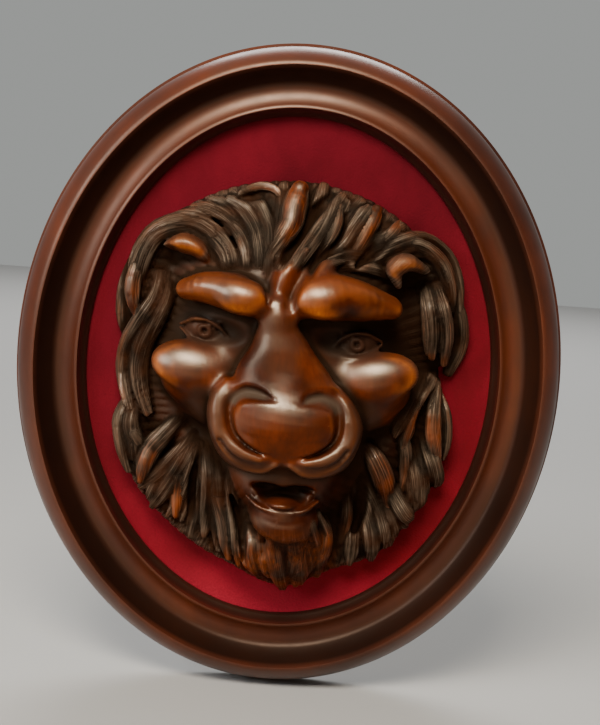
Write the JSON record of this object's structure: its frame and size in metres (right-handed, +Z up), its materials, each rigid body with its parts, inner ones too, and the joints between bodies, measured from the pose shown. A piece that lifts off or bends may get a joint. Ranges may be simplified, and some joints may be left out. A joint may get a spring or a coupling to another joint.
{
  "type": "carved wood lion head plaque",
  "caption": "Oval wall plaque: a carved wooden lion's head with a full mane, mounted on stretched crimson velvet inside a moulded oval wooden frame.",
  "frame": {"origin": "centre of the flat back, on the plane of the wall that the plaque hangs on", "axes": "+Z up, +Y into the wall, +X to the right of a viewer who faces the lion"},
  "size_m": [0.275, 0.0736, 0.323],
  "materials": {
    "frame_wood": "dark reddish-brown stain, satin wax",
    "board_wood": "bare thin board",
    "velvet": "crimson cotton velvet",
    "carved_wood": "dark stain, worn orange-brown and polished on the high points, dusty in the mane"
  },
  "bodies": {
    "root": {"frame": "frame_wood", "backing_board": "board_wood", "velvet": "velvet", "lion_head": "carved_wood"}
  },
  "joints": []
}
